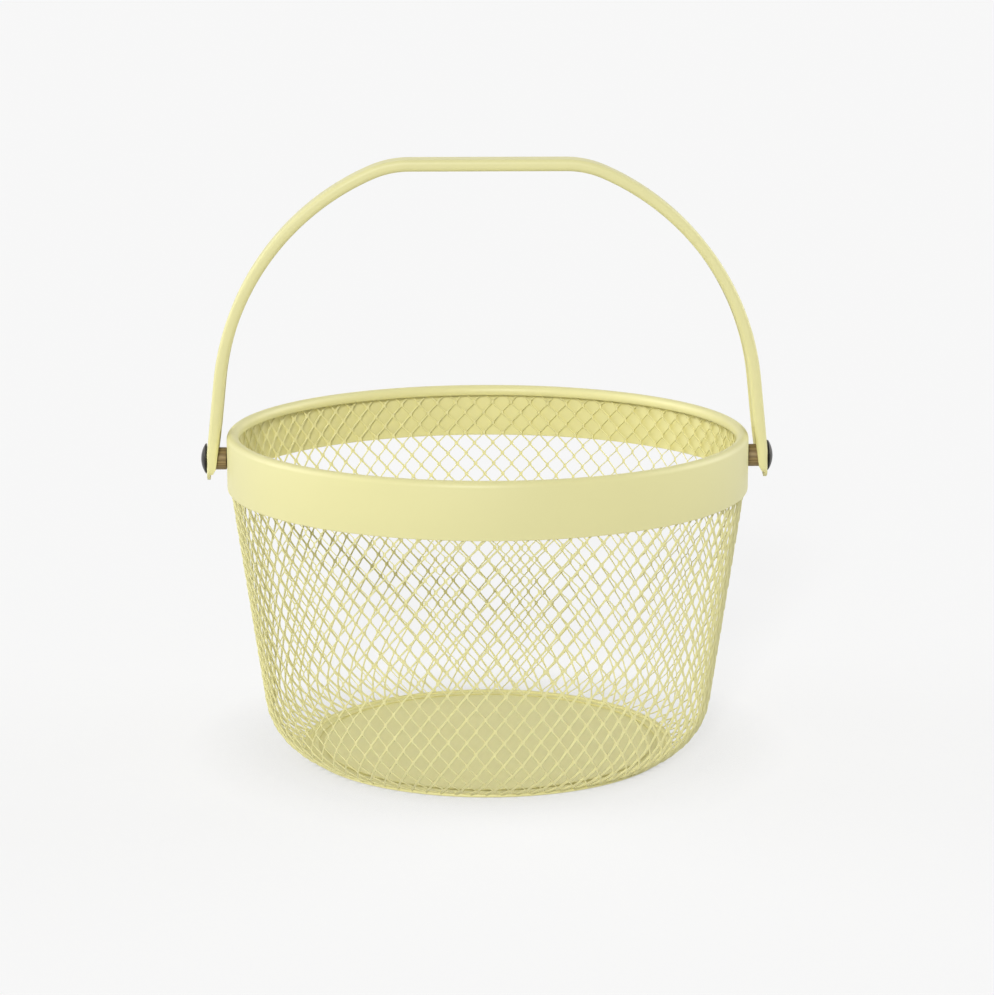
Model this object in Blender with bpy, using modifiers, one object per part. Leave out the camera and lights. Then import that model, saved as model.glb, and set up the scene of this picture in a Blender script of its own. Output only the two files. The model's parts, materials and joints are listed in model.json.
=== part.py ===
"""Round basket of expanded steel mesh with a rolled rim band and a swinging strap handle.

Metres, +Z up. The origin is the middle of the base, on the floor. The handle's axis runs along X
and the front of the basket faces -Y. Each sub-part is one closed solid in its own object.
"""

from math import atan2, cos, pi, radians, sin, sqrt, tan

import bmesh
import bpy
from mathutils import Matrix

# Room left between pieces that touch on the real basket
SEAT_GAP = 0.0003

# Rim band: a steel strip closed to a hoop, with its top edge rolled inward over the mesh
RIM_RADIUS = 0.120
RIM_HEIGHT = 0.150
BAND_HEIGHT = 0.0257
BAND_SHEET = 0.0008
ROLL_RADIUS = 0.0028
ROLL_TURN = radians(225)

# Mesh wall: expanded steel sheet, drawn to a bowl; the strands are wide, and the diamonds large
STRAND_WIDTH = 0.0016
MESH_COLUMNS = 26
MESH_ROWS = 5
MESH_TOP_DROP = 0.006
MESH_END_DROP = 0.00035
CORNER_RADIUS = 0.0281
CORNER_END_TURN = radians(64.9)

# Base plate: a pressed disc with a raised bead, a groove and a hem that stands on the floor
HEM_RADIUS = 0.0864
HEM_WIDTH = 0.0022
HEM_HEIGHT = 0.0023
HEM_ROUND = 0.0004
GROOVE_WIDTH = 0.0040
PLATE_SHEET = 0.0008
PLATE_UNDERSIDE = 0.0008
BEAD_WIDTH = 0.0070
BEAD_RISE = 0.0006
GROOVE_DROP = 0.0005
STEP_RUN = 0.0012

# Handle: a channel bent from steel strip, with lips turned in along its open side
HANDLE_WIDTH = 0.016
HANDLE_DEPTH = 0.0054
HANDLE_SHEET = 0.0012
HANDLE_ROUND = 0.0020
LIP_WIDTH = 0.0045
PIVOT_DROP = 0.013
PAD_RISE = 0.0025
LEG_LENGTH = 0.0347
LEG_TILT = radians(6.2)
ARCH_RADIUS = 0.1198
ARCH_END_TILT = radians(66.5)
BEND_RADIUS = 0.0464
TONGUE_LENGTH = 0.0106
LIP_START = 0.0145
LIP_RUN = 0.0040
FLANGE_TAPER = 0.0005

# Pivots: a domed screw through the handle, a wooden spacer, the band, a washer and a nut
SCREW_RADIUS = 0.0020
SCREW_HEAD_RADIUS = 0.0070
SCREW_HEAD_HEIGHT = 0.0026
SCREW_HEAD_EDGE = 0.0005
SCREW_CHAMFER = 0.0004
SCREW_REACH = 0.0008
BORE_RADIUS = 0.0023
SPACER_RADIUS = 0.00515
SPACER_LENGTH = 0.0073
SPACER_ROUND = 0.0003
WASHER_RADIUS = 0.0045
WASHER_THICKNESS = 0.0008
NUT_ACROSS_FLATS = 0.0070
NUT_HEIGHT = 0.0032
NUT_CHAMFER = 0.0005

# Roundness of the turned pieces, and the reach of the cutters past what they cut
RIM_STEPS = 64
SMALL_STEPS = 32
ROLL_STEPS = 10
ROUND_STEPS = 3
ARCH_STEPS = 14
BEND_STEPS = 4
TONGUE_STEPS = 16
DOME_STEPS = 5
OVERRUN = 0.004
MERGE_DISTANCE = 0.00001
SHARP_ANGLE = radians(35)

# Heights and stations that follow from the sizes above
PIVOT_HEIGHT = RIM_HEIGHT - PIVOT_DROP
BAND_BOTTOM = RIM_HEIGHT - BAND_HEIGHT
BAND_FLAT_RADIUS = (RIM_RADIUS - BAND_SHEET) * cos(pi / RIM_STEPS)
MESH_RADIUS = BAND_FLAT_RADIUS - SEAT_GAP - STRAND_WIDTH / 2
MESH_TOP = RIM_HEIGHT - MESH_TOP_DROP
MESH_END_RADIUS = (HEM_RADIUS + SEAT_GAP + STRAND_WIDTH / 2) / cos(pi / MESH_COLUMNS)
MESH_END_HEIGHT = HEM_HEIGHT - MESH_END_DROP
SPACER_INNER = RIM_RADIUS + SEAT_GAP
WEB_INNER = SPACER_INNER + SPACER_LENGTH + SEAT_GAP
WEB_OUTER = WEB_INNER + HANDLE_SHEET
HEAD_SEAT = WEB_OUTER + SEAT_GAP
WASHER_OUTER = MESH_RADIUS * cos(pi / MESH_COLUMNS) - STRAND_WIDTH / 2 - SEAT_GAP
NUT_OUTER = WASHER_OUTER - WASHER_THICKNESS - SEAT_GAP
SCREW_END = NUT_OUTER - NUT_HEIGHT - SCREW_REACH

# Colours of the finishes, linear, with roughness and metallic value
PALE_YELLOW = ((0.745, 0.700, 0.330), 0.45, 0.0)
DARK_STEEL = ((0.060, 0.058, 0.055), 0.30, 1.0)
BARE_STEEL = ((0.560, 0.550, 0.530), 0.35, 1.0)
BROWN_WOOD = ((0.240, 0.140, 0.060), 0.60, 0.0)


def clear_scene():
    """Remove every object of the opened file."""
    for old in list(bpy.data.objects):
        bpy.data.objects.remove(old, do_unlink=True)


def new_collection(name):
    """Add a collection to the scene."""
    group = bpy.data.collections.new(name)
    bpy.context.scene.collection.children.link(group)
    return group


def new_material(name, finish):
    """Make one Principled material from a colour, a roughness and a metallic value."""
    colour, roughness, metallic = finish
    material = bpy.data.materials.new(name)
    material.use_nodes = True
    shader = material.node_tree.nodes["Principled BSDF"]
    shader.inputs["Base Color"].default_value = (*colour, 1.0)
    shader.inputs["Roughness"].default_value = roughness
    shader.inputs["Metallic"].default_value = metallic
    material.diffuse_color = (*colour, 1.0)
    return material


def new_object(name, mesh, group, finish=None):
    """Link a mesh as an object; a piece also gets its own material and smooth round faces."""
    piece = bpy.data.objects.new(name, mesh)
    group.objects.link(piece)
    if finish:
        mesh.materials.clear()
        mesh.materials.append(new_material(name, finish))
        mesh.shade_smooth()
        mesh.set_sharp_from_angle(angle=SHARP_ANGLE)
    return piece


def baked_mesh(source):
    """Return the evaluated mesh of an object, welded, and remove the object."""
    bpy.context.view_layer.update()
    depsgraph = bpy.context.evaluated_depsgraph_get()
    mesh = bpy.data.meshes.new_from_object(source.evaluated_get(depsgraph))
    mesh.transform(source.matrix_world)
    bpy.data.objects.remove(source, do_unlink=True)
    work = bmesh.new()
    work.from_mesh(mesh)
    bmesh.ops.remove_doubles(work, verts=work.verts, dist=MERGE_DISTANCE)
    bmesh.ops.recalc_face_normals(work, faces=work.faces)
    work.to_mesh(mesh)
    work.free()
    return mesh


def turned_mesh(outline, closed, steps, group, sheet=0.0):
    """Turn an outline of (radius, height) points about Z; a sheet thickness grows inward."""
    count = len(outline)
    edges = [(i, i + 1) for i in range(count - 1)]
    if closed:
        edges.append((count - 1, 0))
    mesh = bpy.data.meshes.new("outline")
    mesh.from_pydata([(radius, 0.0, height) for radius, height in outline], edges, [])
    source = new_object("outline", mesh, group)
    screw = source.modifiers.new("Turn", "SCREW")
    screw.steps = steps
    screw.render_steps = steps
    screw.use_merge_vertices = True
    screw.merge_threshold = MERGE_DISTANCE
    if sheet:
        shell = source.modifiers.new("Sheet", "SOLIDIFY")
        shell.thickness = sheet
        shell.offset = -1.0
        shell.use_even_offset = True
    return baked_mesh(source)


def arc(centre_x, centre_z, radius, start, end, steps):
    """Points of a circular arc from one angle to another, both ends included."""
    angles = [start + (end - start) * i / steps for i in range(steps + 1)]
    return [(centre_x + radius * cos(a), centre_z + radius * sin(a)) for a in angles]


def poly_curve(points, cyclic):
    """A flat poly curve through (x, y) points."""
    curve = bpy.data.curves.new("outline", "CURVE")
    curve.dimensions = "2D"
    curve.fill_mode = "NONE"
    spline = curve.splines.new("POLY")
    spline.points.add(len(points) - 1)
    for point, (x, y) in zip(spline.points, points):
        point.co = (x, y, 0.0, 1.0)
    spline.use_cyclic_u = cyclic
    return curve


def prism_mesh(outline, half_length, turn, group):
    """Fill a closed outline, extrude it both ways and turn it into place."""
    curve = poly_curve(outline, True)
    curve.fill_mode = "BOTH"
    curve.extrude = half_length
    mesh = baked_mesh(new_object("outline", curve, group))
    mesh.transform(turn)
    return mesh


def new_cutter(name, mesh, group):
    """Keep a cutting shape hidden from renders and drawn as wire."""
    cutter = new_object(name, mesh, group)
    cutter.hide_render = True
    cutter.display_type = "WIRE"
    return cutter


def cut(piece, cutter):
    """Take a cutter out of a piece."""
    boolean = piece.modifiers.new(cutter.name, "BOOLEAN")
    boolean.operation = "DIFFERENCE"
    boolean.solver = "EXACT"
    boolean.object = cutter


def wall_path():
    """Point function for the mesh wall's middle line: band, cone touching a round corner, hem."""
    centre_radius = MESH_END_RADIUS - CORNER_RADIUS * cos(CORNER_END_TURN)
    centre_height = MESH_END_HEIGHT + CORNER_RADIUS * sin(CORNER_END_TURN)
    across = MESH_RADIUS - centre_radius
    rise = BAND_BOTTOM - centre_height
    straight = MESH_TOP - BAND_BOTTOM
    cone = sqrt(across ** 2 + rise ** 2 - CORNER_RADIUS ** 2)
    taper = atan2(cone, CORNER_RADIUS) - atan2(rise, across)
    corner = CORNER_RADIUS * (CORNER_END_TURN - taper)

    def point_at(share):
        """Radius and height at a share of the whole length."""
        run = share * (straight + cone + corner)
        if run < straight:
            return MESH_RADIUS, MESH_TOP - run
        run -= straight
        if run < cone:
            return MESH_RADIUS - run * sin(taper), BAND_BOTTOM - run * cos(taper)
        turn = taper + (run - cone) / CORNER_RADIUS
        return centre_radius + CORNER_RADIUS * cos(turn), centre_height - CORNER_RADIUS * sin(turn)

    return point_at


def make_mesh_wall(group):
    """Expanded sheet: a flat grid poked into diamonds, rolled to a bowl and opened to strands."""
    point_at = wall_path()
    sheet = bmesh.new()
    bmesh.ops.create_grid(sheet, x_segments=MESH_COLUMNS, y_segments=MESH_ROWS, size=1)
    is_corner = sheet.verts.layers.int.new("corner")
    for vertex in sheet.verts:
        vertex[is_corner] = 1
    poked = bmesh.ops.poke(sheet, faces=sheet.faces)
    for vertex in poked["verts"]:
        vertex[is_corner] = 0
    for vertex in sheet.verts:
        turn = vertex.co.x * pi
        radius, height = point_at((1 - vertex.co.y) / 2)
        vertex.co = (radius * cos(turn), radius * sin(turn), height)
    bmesh.ops.remove_doubles(sheet, verts=sheet.verts, dist=MERGE_DISTANCE)
    grid_edges = [
        edge for edge in sheet.edges
        if not edge.is_boundary and all(vertex[is_corner] for vertex in edge.verts)
    ]
    bmesh.ops.dissolve_edges(sheet, edges=grid_edges)
    bmesh.ops.recalc_face_normals(sheet, faces=sheet.faces)
    mesh = bpy.data.meshes.new("mesh_wall")
    sheet.to_mesh(mesh)
    sheet.free()
    wall = new_object("mesh_wall", mesh, group, PALE_YELLOW)
    strands = wall.modifiers.new("Strands", "WIREFRAME")
    strands.thickness = STRAND_WIDTH
    strands.use_even_offset = True
    strands.use_boundary = True


def make_rim_band(group, pivot_bore):
    """Strip hoop whose top edge rolls inward, bored at both pivots."""
    centre_radius = RIM_RADIUS - ROLL_RADIUS
    centre_height = RIM_HEIGHT - ROLL_RADIUS
    outline = arc(centre_radius, centre_height, ROLL_RADIUS, ROLL_TURN, 0.0, ROLL_STEPS)
    outline.append((RIM_RADIUS, BAND_BOTTOM))
    mesh = turned_mesh(outline, False, RIM_STEPS, group, BAND_SHEET)
    band = new_object("rim_band", mesh, group, PALE_YELLOW)
    cut(band, pivot_bore)


def make_base_plate(group):
    """Disc with a bead near its edge, a groove and the hem that the mesh ends on."""
    hem_inner = HEM_RADIUS - HEM_WIDTH
    groove_inner = hem_inner - GROOVE_WIDTH
    bead_inner = groove_inner - BEAD_WIDTH
    plate_top = PLATE_UNDERSIDE + PLATE_SHEET
    bead_top = plate_top + BEAD_RISE
    groove_top = plate_top - GROOVE_DROP
    groove_under = PLATE_UNDERSIDE - GROOVE_DROP
    hem_round_radius = HEM_RADIUS - HEM_ROUND
    hem_round_height = HEM_HEIGHT - HEM_ROUND
    outline = [
        (0.0, plate_top),
        (bead_inner - STEP_RUN, plate_top),
        (bead_inner, bead_top),
        (groove_inner - STEP_RUN, bead_top),
        (groove_inner, groove_top),
        (hem_inner, groove_top),
        (hem_inner, hem_round_height),
        (hem_inner + HEM_ROUND, HEM_HEIGHT),
    ]
    outline += arc(hem_round_radius, hem_round_height, HEM_ROUND, pi / 2, 0.0, ROUND_STEPS)
    outline += [
        (HEM_RADIUS, HEM_ROUND),
        (hem_round_radius, 0.0),
        (hem_inner, 0.0),
        (hem_inner - STEP_RUN, groove_under),
        (groove_inner - STEP_RUN, groove_under),
        (bead_inner, PLATE_UNDERSIDE),
        (0.0, PLATE_UNDERSIDE),
    ]
    mesh = turned_mesh(outline, False, RIM_STEPS, group)
    new_object("base_plate", mesh, group, PALE_YELLOW)


def handle_path():
    """Outer line of the strap, from the left tip to the right tip; heights from the pivot."""
    side = [(WEB_OUTER, -TONGUE_LENGTH), (WEB_OUTER, PAD_RISE)]
    arch_foot = (WEB_OUTER - LEG_LENGTH * sin(LEG_TILT), PAD_RISE + LEG_LENGTH * cos(LEG_TILT))
    arch_x = arch_foot[0] - ARCH_RADIUS * cos(LEG_TILT)
    arch_z = arch_foot[1] - ARCH_RADIUS * sin(LEG_TILT)
    side += arc(arch_x, arch_z, ARCH_RADIUS, LEG_TILT, ARCH_END_TILT, ARCH_STEPS)
    bend_x = side[-1][0] - BEND_RADIUS * cos(ARCH_END_TILT)
    bend_z = side[-1][1] - BEND_RADIUS * sin(ARCH_END_TILT)
    side += arc(bend_x, bend_z, BEND_RADIUS, ARCH_END_TILT, pi / 2, BEND_STEPS)[1:]
    return [(-x, z) for x, z in side] + side[::-1]


def channel_section():
    """Closed outline of the lipped channel: depth below the outer face, then width across."""
    half = HANDLE_WIDTH / 2
    inner_half = half - HANDLE_SHEET
    inner_round = HANDLE_ROUND - HANDLE_SHEET
    lip_tip = half - LIP_WIDTH
    outer_round_depth = HANDLE_DEPTH - HANDLE_ROUND
    quarter = pi / 2
    outer = arc(half - HANDLE_ROUND, -HANDLE_ROUND, HANDLE_ROUND, quarter, 0.0, ROUND_STEPS)
    outer += arc(half - HANDLE_ROUND, -outer_round_depth, HANDLE_ROUND, 0.0, -quarter, ROUND_STEPS)
    lip = [(lip_tip, -HANDLE_DEPTH), (lip_tip, HANDLE_SHEET - HANDLE_DEPTH)]
    inner_corner = half - HANDLE_ROUND
    inner = arc(inner_corner, -outer_round_depth, inner_round, -quarter, 0.0, 1)
    inner += arc(inner_corner, -HANDLE_ROUND, inner_round, 0.0, quarter, 1)
    side = outer + lip + inner
    return side + [(-across, depth) for across, depth in side[::-1]]


def make_handle(group, cutters, pivot_bore, axis):
    """Sweep the channel along the strap's line, then shape its ends and bore the pivots."""
    section = [(-depth, across) for across, depth in channel_section()]
    profile = new_object("section", poly_curve(section, True), cutters)
    path = poly_curve(handle_path(), False)
    path.bevel_mode = "OBJECT"
    path.bevel_object = profile
    path.use_fill_caps = True
    mesh = baked_mesh(new_object("strap", path, group))
    bpy.data.objects.remove(profile, do_unlink=True)
    mesh.transform(Matrix.Rotation(pi / 2, 4, "X"))
    handle = new_object("handle", mesh, group, PALE_YELLOW)
    handle.parent = axis
    cut(handle, make_tongue_cutter(cutters))
    for side in (-1, 1):
        cut(handle, make_lip_cutter(cutters, side))
    cut(handle, pivot_bore)


def make_tongue_cutter(group):
    """Round both tips: a block across both ends with a half-round bite."""
    radius = HANDLE_WIDTH / 2
    centre = PIVOT_HEIGHT - TONGUE_LENGTH + radius
    reach = radius + OVERRUN
    floor = centre - radius - OVERRUN
    bite = arc(0.0, centre, radius, -pi, 0.0, TONGUE_STEPS)
    outline = [(-reach, centre)] + bite + [(reach, centre), (reach, floor), (-reach, floor)]
    turn = Matrix.Rotation(pi / 2, 4, "Z") @ Matrix.Rotation(pi / 2, 4, "X")
    mesh = prism_mesh(outline, WEB_OUTER + OVERRUN, turn, group)
    return new_cutter("tongue_cutter", mesh, group)


def make_lip_cutter(group, side):
    """End the lips above one pivot and taper the flanges towards the tip."""
    flange_depth = HANDLE_DEPTH - HANDLE_SHEET - SEAT_GAP
    lip_end = LIP_START - LIP_RUN
    tip = -TONGUE_LENGTH - OVERRUN
    start_face = WEB_OUTER - (LIP_START - PAD_RISE) * tan(LEG_TILT)
    end_face = WEB_OUTER - (lip_end - PAD_RISE) * tan(LEG_TILT)
    inner_reach = start_face - HANDLE_DEPTH - OVERRUN
    outline = [
        (start_face - HANDLE_DEPTH, LIP_START),
        (end_face - flange_depth, lip_end),
        (WEB_OUTER - flange_depth, PAD_RISE),
        (WEB_OUTER - flange_depth + FLANGE_TAPER, tip),
        (inner_reach, tip),
        (inner_reach, LIP_START),
    ]
    outline = [(side * x, PIVOT_HEIGHT + z) for x, z in outline]
    turn = Matrix.Rotation(pi / 2, 4, "X")
    mesh = prism_mesh(outline, HANDLE_WIDTH / 2 + OVERRUN, turn, group)
    return new_cutter("lip_cutter_" + side_name(side), mesh, group)


def make_pivot_bore(group):
    """One round cutter through both pivots."""
    work = bmesh.new()
    bmesh.ops.create_cone(
        work,
        cap_ends=True,
        segments=SMALL_STEPS,
        radius1=BORE_RADIUS,
        radius2=BORE_RADIUS,
        depth=2 * (HEAD_SEAT + OVERRUN),
    )
    mesh = bpy.data.meshes.new("pivot_bore")
    work.to_mesh(mesh)
    work.free()
    bore = new_cutter("pivot_bore", mesh, group)
    bore.rotation_euler = (0.0, pi / 2, 0.0)
    bore.location = (0.0, 0.0, PIVOT_HEIGHT)
    return bore


def side_name(side):
    """Name of a side seen from the front."""
    return "left" if side < 0 else "right"


def place_on_pivot(piece, side, station):
    """Point a turned piece's +Z outward on one side, with its origin at a station along X."""
    piece.rotation_euler = (0.0, side * pi / 2, 0.0)
    piece.location = (side * station, 0.0, PIVOT_HEIGHT)


def make_screw(group, side):
    """Domed head and plain shank; the origin is under the head."""
    rise = SCREW_HEAD_HEIGHT - SCREW_HEAD_EDGE
    ball = (SCREW_HEAD_RADIUS ** 2 + rise ** 2) / (2 * rise)
    edge_angle = atan2(ball - rise, SCREW_HEAD_RADIUS)
    outline = arc(0.0, SCREW_HEAD_HEIGHT - ball, ball, pi / 2, edge_angle, DOME_STEPS)
    shank = HEAD_SEAT - SCREW_END
    outline += [
        (SCREW_HEAD_RADIUS, 0.0),
        (SCREW_RADIUS, 0.0),
        (SCREW_RADIUS, SCREW_CHAMFER - shank),
        (SCREW_RADIUS - SCREW_CHAMFER, -shank),
        (0.0, -shank),
    ]
    mesh = turned_mesh(outline, False, SMALL_STEPS, group)
    screw = new_object(side_name(side) + "_screw", mesh, group, DARK_STEEL)
    place_on_pivot(screw, side, HEAD_SEAT)


def make_ring(name, radius, length, edge, finish, group, side, station):
    """Bored round piece with eased outer edges, its inner face on a station."""
    outline = [
        (BORE_RADIUS, length),
        (radius - edge, length),
        (radius, length - edge),
        (radius, edge),
        (radius - edge, 0.0),
        (BORE_RADIUS, 0.0),
    ]
    mesh = turned_mesh(outline, True, SMALL_STEPS, group)
    ring = new_object(side_name(side) + "_" + name, mesh, group, finish)
    place_on_pivot(ring, side, station)


def make_nut(group, side, pivot_bore):
    """Hexagonal nut on the inner end of the screw."""
    work = bmesh.new()
    corner_radius = NUT_ACROSS_FLATS / (2 * cos(pi / 6))
    bmesh.ops.create_cone(
        work,
        cap_ends=True,
        segments=6,
        radius1=corner_radius,
        radius2=corner_radius,
        depth=NUT_HEIGHT,
    )
    mesh = bpy.data.meshes.new("nut")
    work.to_mesh(mesh)
    work.free()
    nut = new_object(side_name(side) + "_nut", mesh, group, BARE_STEEL)
    bevel = nut.modifiers.new("Chamfer", "BEVEL")
    bevel.width = NUT_CHAMFER
    bevel.segments = 1
    place_on_pivot(nut, side, NUT_OUTER - NUT_HEIGHT / 2)
    cut(nut, pivot_bore)


def main():
    """Build the basket."""
    clear_scene()
    basket = new_collection("metal_basket")
    cutters = new_collection("cutters")
    pivot_bore = make_pivot_bore(cutters)
    axis = bpy.data.objects.new("handle_axis", None)
    axis.location = (0.0, 0.0, PIVOT_HEIGHT)
    basket.objects.link(axis)
    make_mesh_wall(basket)
    make_base_plate(basket)
    make_rim_band(basket, pivot_bore)
    make_handle(basket, cutters, pivot_bore, axis)
    for side in (-1, 1):
        make_screw(basket, side)
        make_ring("spacer", SPACER_RADIUS, SPACER_LENGTH, SPACER_ROUND, BROWN_WOOD, basket,
                  side, SPACER_INNER)
        make_ring("washer", WASHER_RADIUS, WASHER_THICKNESS, SPACER_ROUND, BARE_STEEL, basket,
                  side, WASHER_OUTER - WASHER_THICKNESS)
        make_nut(basket, side, pivot_bore)


main()
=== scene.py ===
"""Looks of the round mesh basket: expanded steel wall, rolled rim band, base plate and handle.

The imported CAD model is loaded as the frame. Each piece is modelled in the same place, in metres,
and rides on the CAD body that carries it.
"""

import json
from math import atan2, cos, degrees, pi, radians, sin, sqrt

import bmesh
import bpy
from bpy.props import FloatProperty, FloatVectorProperty, IntProperty, PointerProperty
from mathutils import Matrix, Vector


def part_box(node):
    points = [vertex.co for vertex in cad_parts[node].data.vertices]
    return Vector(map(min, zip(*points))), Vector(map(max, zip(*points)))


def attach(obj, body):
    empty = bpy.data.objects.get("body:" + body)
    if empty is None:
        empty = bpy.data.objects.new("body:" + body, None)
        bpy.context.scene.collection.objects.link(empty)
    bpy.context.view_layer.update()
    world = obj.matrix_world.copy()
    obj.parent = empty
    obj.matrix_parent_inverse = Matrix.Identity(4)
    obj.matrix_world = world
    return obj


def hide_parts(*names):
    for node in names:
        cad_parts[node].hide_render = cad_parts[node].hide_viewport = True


bl_info = {
    "name": "Mesh basket",
    "version": (1, 0, 0),
    "blender": (4, 5, 0),
    "location": "3D View > Sidebar > Basket",
    "description": "Round basket of expanded steel mesh with a swinging strap handle",
    "category": "Add Mesh",
}

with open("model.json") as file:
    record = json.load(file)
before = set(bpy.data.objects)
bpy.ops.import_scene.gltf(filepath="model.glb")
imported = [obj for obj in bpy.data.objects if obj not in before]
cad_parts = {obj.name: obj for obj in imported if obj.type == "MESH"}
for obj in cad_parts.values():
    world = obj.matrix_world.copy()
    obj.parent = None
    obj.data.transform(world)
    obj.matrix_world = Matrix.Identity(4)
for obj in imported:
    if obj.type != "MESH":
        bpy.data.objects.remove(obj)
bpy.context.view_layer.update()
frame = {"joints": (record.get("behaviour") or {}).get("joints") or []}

# Places and sizes that the frame gives
PIVOT_HEIGHT = frame["joints"][0]["pos_m"][2]
RIM_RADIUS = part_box("rim_band")[1].y
RIM_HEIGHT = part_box("rim_band")[1].z
BAND_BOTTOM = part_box("rim_band")[0].z
HEM_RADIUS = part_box("base_plate")[1].x
HEM_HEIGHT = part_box("base_plate")[1].z
WEB_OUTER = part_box("handle")[1].x
HANDLE_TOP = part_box("handle")[1].z
HANDLE_WIDTH = 2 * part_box("handle")[1].y
HEAD_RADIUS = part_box("right_screw")[1].y
HEAD_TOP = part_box("right_screw")[1].x
SCREW_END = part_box("right_screw")[0].x
NUT_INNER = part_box("right_nut")[0].x
NUT_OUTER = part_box("right_nut")[1].x

# Room left between two pieces that touch in the real basket
SEAT_GAP = 0.0003

# Distance within which two points are one
WELD_DISTANCE = 0.00001

# Rim band: sheet, roll with its turn in degrees, and roundness
BAND_SHEET = 0.0008
ROLL_RADIUS = 0.0028
ROLL_TURN = 225
RIM_STEPS = 192
ROLL_STEPS = 18

# Base plate: radii from the middle outward, heights over the floor, the slot's depth, and the
# rounding of its edges and of the hem
CENTRE_RADIUS = 0.002
DISC_EDGE = 0.0770
BEAD_START = 0.0795
BEAD_END = 0.0816
HEM_START = 0.0846
PLATE_UNDER = 0.0001
SLOT_FLOOR = 0.00025
DISC_HEIGHT = 0.0010
HEM_CREST = 0.0014
SLOT_DEPTH = 0.0016
PLATE_EASE = 0.0003
HEM_ROLL = 0.0005
HEM_ROUND = 0.0006

# Mesh wall: its middle line from under the roll to the hem
MESH_RADIUS = RIM_RADIUS - 0.00204
MESH_TOP = RIM_HEIGHT - 0.006
MESH_END_RADIUS = HEM_RADIUS + SEAT_GAP + 0.00085
MESH_END_HEIGHT = HEM_HEIGHT - 0.00035
CORNER_RADIUS = 0.0281
CORNER_END_TURN = radians(64.9)
MESH_TUCK = 0.0018

# Mesh wall: the bonds that join its strands, in columns round the wall and rows down it
MESH_COLUMNS = 80
MESH_STEPS = 28
FLAT_WIDE = 0.009
FLAT_HIGH = 0.010
STRAND_LENGTH = 0.00692
FIRST_RUN = -0.0024
LATE_ROWS = 5
FIRST_COLUMN = 0.721
ROW_DRIFT = 0.010
BACK_DRIFT = 0.159

# Mesh wall: how far single bonds stray along the wall, round it and in their turn
RUN_SCATTER = 0.00012
ROUND_SCATTER = 0.0012
TURN_SCATTER = radians(3)
TURN_DRAW = 7
SCATTER_WAVES = (12.9898, 78.233)
SCATTER_GAIN = 43758.5453

# Handle: the strap's section, and its line from the grip down to the tongue
STRAP_DEPTH = 0.0054
STRAP_SHEET = 0.0012
STRAP_ROUND = 0.0020
LIP_WIDTH = 0.0045
STRAP_MIDDLE = HANDLE_TOP - STRAP_DEPTH / 2
BEND_RADIUS = 0.0464
ARCH_RADIUS = 0.1198
ARCH_END_TILT = radians(66.5)
LEG_LENGTH = 0.0347
LEG_TILT = radians(6.2)
PAD_RADIUS = 0.018
PAD_RISE = 0.0025
TONGUE_LENGTH = 0.0099

# Handle: heights over and under the pivot where its lips and sides end, and room for the cuts
LIP_START = 0.0145
LIP_END = 0.0095
FLANGE_END = 0.0040
FLANGE_TIP = 0.0082
FLANGE_MARGIN = 0.0001
BITE_MARGIN = 0.0004
CUT_REACH = 0.004

# Pivots: bores, screws and nuts
PIVOT_STEPS = 48
RING_STEPS = 64
BORE_RADIUS = 0.0023
HEAD_EDGE = 0.0005
SHANK_RADIUS = 0.0020
THREAD_START = 0.0150
THREAD_PITCH = 0.0007
THREAD_DEPTH = 0.00028
THREAD_RUNOUT = 0.0005
NUT_FLATS = 0.0070
NUT_SLOPE = 0.577

# Wood of the spacers: the tree's middle in front of and over the pivot, and the grain's scale
# along the pivots' line
HEART_FRONT = 0.011
HEART_OVER = 0.006
GRAIN_SCALE = 0.12

# Floor: paper as it lights the basket, and shares of light and glow where it is seen directly
PAPER_LIT = (0.80, 0.80, 0.80)
PAPER_DIFFUSE = 0.28
PAPER_GLOW = 0.80

# Floor: soft shade painted into the seen glow near the basket, leaning to the middle and front
SHADE_SHARE = 0.5
SHADE_REACH = 0.045
SHADE_INWARD = -7.0
SHADE_FRONT = -0.25
SHADE_UP = 0.8

# Light from the surroundings
WORLD_STRENGTH = 0.20

# Camera: distance from the basket's axis, height, and its angles
CAMERA_DISTANCE = 1.3716
CAMERA_HEIGHT = 0.4119
CAMERA_YAW = radians(1.68)
CAMERA_PAN = radians(0.1800)
CAMERA_TILT = radians(90 - 12.107)
CAMERA_LENS = 109.63


class BasketSizes(bpy.types.PropertyGroup):
    """Sizes of the mesh wall"""

    strand_width: FloatProperty(
        name="Strand width", description="Width of a strand, half the width of a bond",
        default=0.00094, min=0.0004, max=0.0015, unit="LENGTH", precision=5)
    strand_sheet: FloatProperty(
        name="Strand thickness", description="Thickness of the expanded sheet with its coating",
        default=0.0005, min=0.0003, max=0.0012, unit="LENGTH", precision=5)
    bond_height: FloatProperty(
        name="Bond height", description="Height of the bond where four strands meet",
        default=0.0015, min=0.0003, max=0.002, unit="LENGTH", precision=5)
    strand_turn: FloatProperty(
        name="Strand turn", description="Turn of bonds and strands to one side by the expanding",
        default=radians(32), min=0.0, max=radians(60), subtype="ANGLE")
    strand_slant: FloatProperty(
        name="Strand slant", description="Fall of a bond's width to the right in the mesh",
        default=radians(8), min=0.0, max=radians(40), subtype="ANGLE")
    edge_round: FloatProperty(
        name="Edge rounding", description="Rounding that the coating leaves on the strands' edges",
        default=0.0001, min=0.00005, max=0.0003, unit="LENGTH", precision=5)
    mesh_columns: IntProperty(
        name="Diamonds around", description="Diamonds in one row of the mesh",
        default=MESH_COLUMNS, min=40, max=120)


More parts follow.
